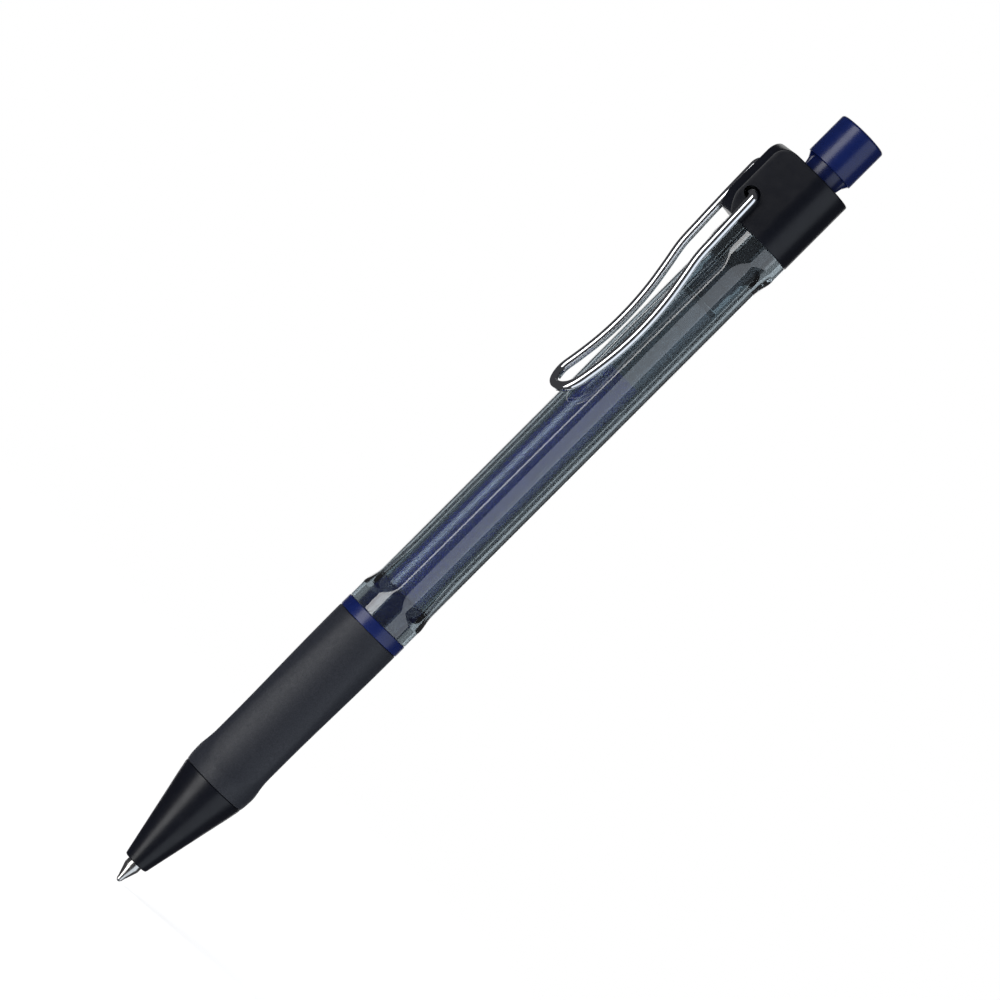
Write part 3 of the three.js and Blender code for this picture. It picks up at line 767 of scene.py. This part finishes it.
def clip_holder():
    end_round, front_round = 0.25, 0.1
    rings = []
    for a in steps(0, math.pi / 2, 3)[:-1]:
        z = CAP_FRONT + front_round * (1 - math.cos(a))
        rings.append(fin_section(fin_profile(z), front_round * (1 - math.sin(a)), z))
    corner_from = CAP_REAR - FIN_CORNER
    for z in steps(CAP_FRONT + front_round, FIN_LEVEL_FROM, 12) + steps(127, corner_from, 4):
        rings.append(fin_section(fin_profile(z), 0, z))
    for a in steps(0, math.pi / 2, 18)[1:]:
        z = corner_from + FIN_CORNER * math.sin(a)
        over = max(0.0, z - (CAP_REAR - end_round))
        inset = end_round - math.sqrt(max(end_round ** 2 - over ** 2, 0))
        rings.append(fin_section(fin_profile(z), inset, z))
    turns = [math.atan2(p.x, AXIS_Y * MM - p.y) for p in rings[len(rings) // 2]]
    seat = SPIGOT_END + 0.85
    mouth, bore = 3.6, SPIGOT_R + 0.06
    inside = [
        (mouth + 0.12, CAP_REAR),
        (mouth, CAP_REAR - 0.12),
        (mouth, seat + 0.1),
        (mouth + 0.05, seat),
        (bore, seat),
        (bore, CAP_FRONT + 0.1),
        (bore + 0.1, CAP_FRONT),
    ]
    for r, z in inside:
        rings.append([at(r, a, z) for a in turns])
    holder = rings_object("clip_holder_moulded", rings, closed=True)
    hole_bottom = 0.7
    hole = [(0, hole_bottom), (HOLE_R, hole_bottom), (HOLE_R, CAP_R), (0, CAP_R)]
    for side, z in HOLE_Z.items():
        drill = turned("drill", hole, 48)
        drill.data.transform(Matrix.Translation(-at(0, 0, 0)))
        drill.data.transform(Matrix.Rotation(side * math.pi / 2, 4, "Y"))
        drill.data.transform(Matrix.Translation(at(HOLE_HEIGHT, 0, z)))
        combined(holder, drill, "DIFFERENCE")
    softened(holder, 0.07)
    place(holder, "housing", "black_plastic", BLACK, "clip_holder")


# Height of the clip's centre line, (z, height): hooked out at the loop, nearest the barrel in the
# middle, and rising to the holes in the fin.
CLIP_LINE = [
    (89.4, 6.22), (90.4, 5.9), (92, 5.61), (94.7, 5.12), (98.1, 4.67), (101.5, 4.49), (104.9, 4.58),
    (108.2, 4.91), (111.6, 5.5), (115, 6.15), (118.4, 6.34), (121.8, 6.48), (126.3, 6.62),
    (130.4, 6.7),
]
WIRE_R = 0.7
LEG_X = 3.28


def clip_height(z):
    """Smooth height between the points of CLIP_LINE."""
    i = max(k for k in range(len(CLIP_LINE) - 1) if CLIP_LINE[k][0] <= max(z, CLIP_LINE[0][0]))
    (z0, h0), (z1, h1) = CLIP_LINE[i], CLIP_LINE[i + 1]
    before = CLIP_LINE[max(i - 1, 0)]
    after = CLIP_LINE[min(i + 2, len(CLIP_LINE) - 1)]
    slope0 = (h1 - before[1]) / (z1 - before[0])
    slope1 = (after[1] - h0) / (after[0] - z0)
    gap = z1 - z0
    t = (z - z0) / gap
    return (
        h0 * (1 + 2 * t) * (1 - t) ** 2 + slope0 * gap * t * (1 - t) ** 2
        + h1 * t * t * (3 - 2 * t) + slope1 * gap * t * t * (t - 1)
    )


def half_clip(side):
    """In from the hole, round the bend, down the leg and half round the loop."""
    bend_r, end_x = 1.0, 0.95
    bend_x, bend_z = LEG_X - bend_r, HOLE_Z[side] - bend_r
    loop_z = CLIP_LINE[0][0] + LEG_X
    half = [(x, HOLE_HEIGHT, HOLE_Z[side]) for x in steps(end_x, bend_x, 5)[:-1]]
    for a in steps(0, math.pi / 2, 10):
        z = bend_z + bend_r * math.cos(a)
        height = HOLE_HEIGHT + 2 * a / math.pi * (clip_height(z) - HOLE_HEIGHT)
        half.append((bend_x + bend_r * math.sin(a), height, z))
    half += [(LEG_X, clip_height(z), z) for z in steps(bend_z, loop_z, 110)[1:]]
    for a in steps(0, math.pi / 2, 24)[1:]:
        z = loop_z - LEG_X * math.sin(a)
        half.append((LEG_X * math.cos(a), clip_height(z), z))
    return [Vector((side * x, AXIS_Y - h, z)) * MM for x, h, z in half]


def clip_wire():
    path = half_clip(1) + half_clip(-1)[-2::-1]
    wire = swept("clip_wire_chromed", path, WIRE_R, 32)
    place(wire, "clip", "clip_chrome", CHROME, "clip_wire")


# ---------------------------------------------------------------- push button and latch

NECK_R = 2.85
HEAD_R = radius_of("push_button")
HEAD_BOTTOM = 136.2
RIB_TURN = math.radians(180 - 26.7)


def flared_rib(turn):
    """A rib beside the neck, flaring out to the head."""
    neck, head = NECK_R - 0.3, HEAD_R - 0.02
    edge = [
        (neck, 133), (3.0, 133), (3.05, CAP_REAR), (3.28, 135.4), (head - 0.1, HEAD_BOTTOM - 0.13),
        (head, HEAD_BOTTOM + 0.05), (head, HEAD_BOTTOM + 0.3), (neck, HEAD_BOTTOM + 0.3),
    ]
    half_width = 1.1
    bm = bmesh.new()
    sides = []
    for across in (-half_width, half_width):
        ring = []
        for r, z in edge:
            reach = math.sqrt(max(r * r - across * across, 0.0))
            ring.append(bm.verts.new(Vector((across, -reach, z)) * MM))
        sides.append(ring)
    stitch(bm, *sides)
    for ring in sides:
        bm.faces.new(ring)
    rib = mesh_object("rib", bm)
    rib.data.transform(Matrix.Rotation(turn, 4, "Z"))
    rib.data.transform(Matrix.Translation(at(0, 0, 0)))
    return rib


def push_button():
    bore, end_wall = 2.32, 1.4
    button = turned("push_button_moulded", [
        (0, PEN_LENGTH - end_wall),
        (bore, PEN_LENGTH - end_wall),
        (bore, BUTTON_BOTTOM, 0.05),
        (NECK_R, BUTTON_BOTTOM, 0.15),
        (NECK_R, HEAD_BOTTOM, 0.05),
        (HEAD_R, HEAD_BOTTOM, 0.1),
        (HEAD_R, PEN_LENGTH - 0.2, 0.42),
        (2.4, PEN_LENGTH - 0.01, 3.0),
        (1.2, PEN_LENGTH),
        (0, PEN_LENGTH),
    ], 128)
    for turn in (RIB_TURN, RIB_TURN + math.pi):
        combined(button, flared_rib(turn), "UNION")
    place(button, "button", "navy_plastic", NAVY, "push_button")


def latch():
    """The plunger, rotor and cam guide keep their CAD shapes, with softened edges."""
    for node, material in (("plunger", MECHANISM), ("rotor", MECHANISM), ("cam_guide", GUIDE)):
        obj = frame["nodes"][node]
        obj.data.materials.clear()
        obj.data.materials.append(material)
        for face in obj.data.polygons:
            face.use_smooth = True
        softened(obj, 0.04, angle=50)


# ---------------------------------------------------------------- stage, light and camera

def stage_floor():
    """Pale floor at the pen's foot; it fades out at its rim."""
    floor_r, count = 0.6, 96
    fade_from, gone_at = 0.12, 0.95 * floor_r
    bm = bmesh.new()
    centre = [bm.verts.new((0, 0, 0))]
    rims = []
    angles = [TAU * k / count for k in range(count)]
    for share in (0.2, 0.5, 1.0):
        rim_r = floor_r * share
        rims.append([bm.verts.new((rim_r * math.cos(a), rim_r * math.sin(a), 0)) for a in angles])
    for lower, upper in zip([centre, *rims], rims):
        stitch(bm, lower, upper)
    floor = mesh_object("floor", bm)
    material = bpy.data.materials.new("pale floor")
    material.use_nodes = True
    tree = material.node_tree
    shader = tree.nodes["Principled BSDF"]
    shader.inputs["Base Color"].default_value = (0.9, 0.9, 0.9, 1)
    shader.inputs["Roughness"].default_value = 0.9
    shader.inputs["Specular IOR Level"].default_value = 0.0
    shader.inputs["Emission Color"].default_value = (1, 1, 1, 1)
    shader.inputs["Emission Strength"].default_value = 0.78
    coordinates = tree.nodes.new("ShaderNodeTexCoord").outputs["Object"]
    length = tree.nodes.new("ShaderNodeVectorMath")
    length.operation = "LENGTH"
    fade = tree.nodes.new("ShaderNodeMapRange")
    fade.inputs["From Min"].default_value = fade_from
    fade.inputs["From Max"].default_value = gone_at
    fade.inputs["To Min"].default_value = 1.0
    fade.inputs["To Max"].default_value = 0.0
    fade.interpolation_type = "SMOOTHSTEP"
    tree.links.new(coordinates, length.inputs[0])
    tree.links.new(length.outputs["Value"], fade.inputs["Value"])
    tree.links.new(fade.outputs["Result"], shader.inputs["Alpha"])
    floor.data.materials.append(material)
    floor.visible_glossy = False
    floor.visible_shadow = False


VIEW_AZIMUTH = math.radians(63.3)
BACK = Vector((math.sin(VIEW_AZIMUTH), -math.cos(VIEW_AZIMUTH), 0))
ALONG = Vector((0, 0, 1))
ACROSS = -Vector((math.cos(VIEW_AZIMUTH), math.sin(VIEW_AZIMUTH), 0))   # up-left in the picture


def camera():
    """Square on to the pen, rolled by an eighth of a turn so that the pen climbs to the right."""
    distance, middle, aside = 812, 73.05, 0.18
    data = bpy.data.cameras.new("camera")
    data.sensor_width = 36
    data.lens = 216
    data.clip_start, data.clip_end = 0.01, 20
    cam = bpy.data.objects.new("camera", data)
    bpy.context.scene.collection.objects.link(cam)
    up = (ALONG + ACROSS).normalized()
    right = (ALONG - ACROSS).normalized()
    position = (Vector((0, AXIS_Y, middle)) - ACROSS * aside + BACK * distance) * MM
    turn = Matrix((right, up, BACK)).transposed().to_4x4()
    cam.matrix_world = Matrix.Translation(position) @ turn
    bpy.context.scene.camera = cam


def strip_light(name, degrees, distance, width, watts, colour=(1, 1, 1)):
    """A long soft box beside the pen, at an angle from the view towards the clip's side."""
    middle, height = -0.1, 1.4
    data = bpy.data.lights.new(name, "AREA")
    data.shape = "RECTANGLE"
    data.size, data.size_y = width, height
    data.energy = watts
    data.color = colour
    light = bpy.data.objects.new(name, data)
    bpy.context.scene.collection.objects.link(light)
    a = math.radians(degrees)
    out = BACK * math.cos(a) + ACROSS * math.sin(a)
    turn = Matrix((ALONG.cross(out), ALONG, out)).transposed().to_4x4()
    light.matrix_world = Matrix.Translation(out * distance + ALONG * middle) @ turn


def world():
    """White seen directly or through clear parts, partly so in reflections inside them, and dark
    in reflections off the outside and in diffuse light. It is a look, not a physical room."""
    made = bpy.data.worlds.new("studio")
    made.use_nodes = True
    tree = made.node_tree
    inside_share = 0.45
    rays = tree.nodes.new("ShaderNodeLightPath")

    def maths(operation, first, second):
        node = tree.nodes.new("ShaderNodeMath")
        node.operation = operation
        node.use_clamp = True
        for value, socket in zip((first, second), node.inputs):
            if isinstance(value, float):
                socket.default_value = value
            else:
                tree.links.new(value, socket)
        return node.outputs["Value"]

    transmitted = maths("MINIMUM", rays.outputs["Transmission Depth"], 1.0)
    passed = maths("MULTIPLY", transmitted, inside_share)
    reflected = maths("SUBTRACT", maths("MINIMUM", rays.outputs["Glossy Depth"], 1.0), passed)
    darkness = maths("ADD", reflected, rays.outputs["Diffuse Depth"])
    mix = tree.nodes.new("ShaderNodeMix")
    mix.data_type = "RGBA"
    mix.inputs["A"].default_value = (1.0, 1.0, 1.0, 1)
    mix.inputs["B"].default_value = (0.05, 0.05, 0.055, 1)
    tree.links.new(darkness, mix.inputs["Factor"])
    tree.links.new(mix.outputs["Result"], tree.nodes["Background"].inputs["Color"])
    bpy.context.scene.world = made


tip_ball()
writing_tip()
tip_holder()
ink_tube()
tail_plug()
return_spring()
nose_cone()
grip_core()
grip_sleeve()
barrel()
clip_holder()
clip_wire()
push_button()
latch()
stage_floor()
camera()
strip_light("key", 41, 0.55, 0.30, 4.6)
strip_light("fill", -59, 0.6, 0.60, 2.8, (0.84, 0.91, 1.0))
strip_light("back", 180, 0.7, 0.60, 2.8)
world()
bpy.context.scene.view_settings.view_transform = "Standard"
